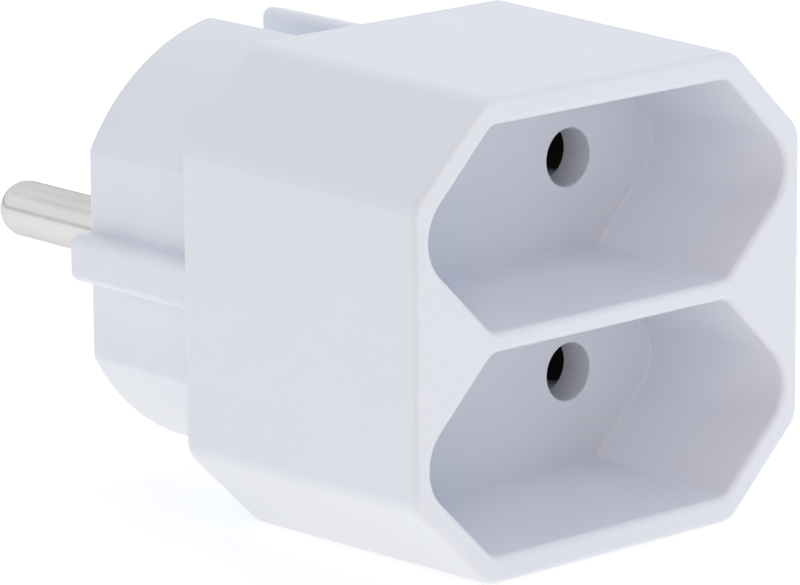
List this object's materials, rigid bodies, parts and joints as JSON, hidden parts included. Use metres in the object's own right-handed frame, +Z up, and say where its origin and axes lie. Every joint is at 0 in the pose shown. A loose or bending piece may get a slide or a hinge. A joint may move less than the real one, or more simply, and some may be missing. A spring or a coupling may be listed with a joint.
{
  "type": "plug adapter",
  "caption": "Plug adapter with two flat two-pin sockets, one above the other, in an octagonal box on a round two-pin plug.",
  "frame": {"origin": "centre of the plug's face, between its two pins", "axes": "+Y from the sockets to the tips of the plug's pins, +X to the right as the sockets are seen, +Z up"},
  "size_m": [0.042, 0.0643, 0.0398],
  "materials": {
    "white_housing": "satin moulded",
    "nickel_pin": "nickel plated",
    "brass_strip": "rolled",
    "bronze_spring": "rolled, heat-darkened",
    "brass_rivet": "headed",
    "zinc_screw": "zinc plated"
  },
  "bodies": {
    "root": {"busbar_left": "brass_strip", "busbar_right": "brass_strip", "closing_screw": "zinc_screw", "contact_lower_left": "bronze_spring", "contact_lower_right": "bronze_spring", "contact_rivets": "brass_rivet", "contact_upper_left": "bronze_spring", "contact_upper_right": "bronze_spring", "front_housing": "white_housing", "plug_housing": "white_housing", "plug_pin_left": "nickel_pin", "plug_pin_right": "nickel_pin"}
  },
  "joints": []
}
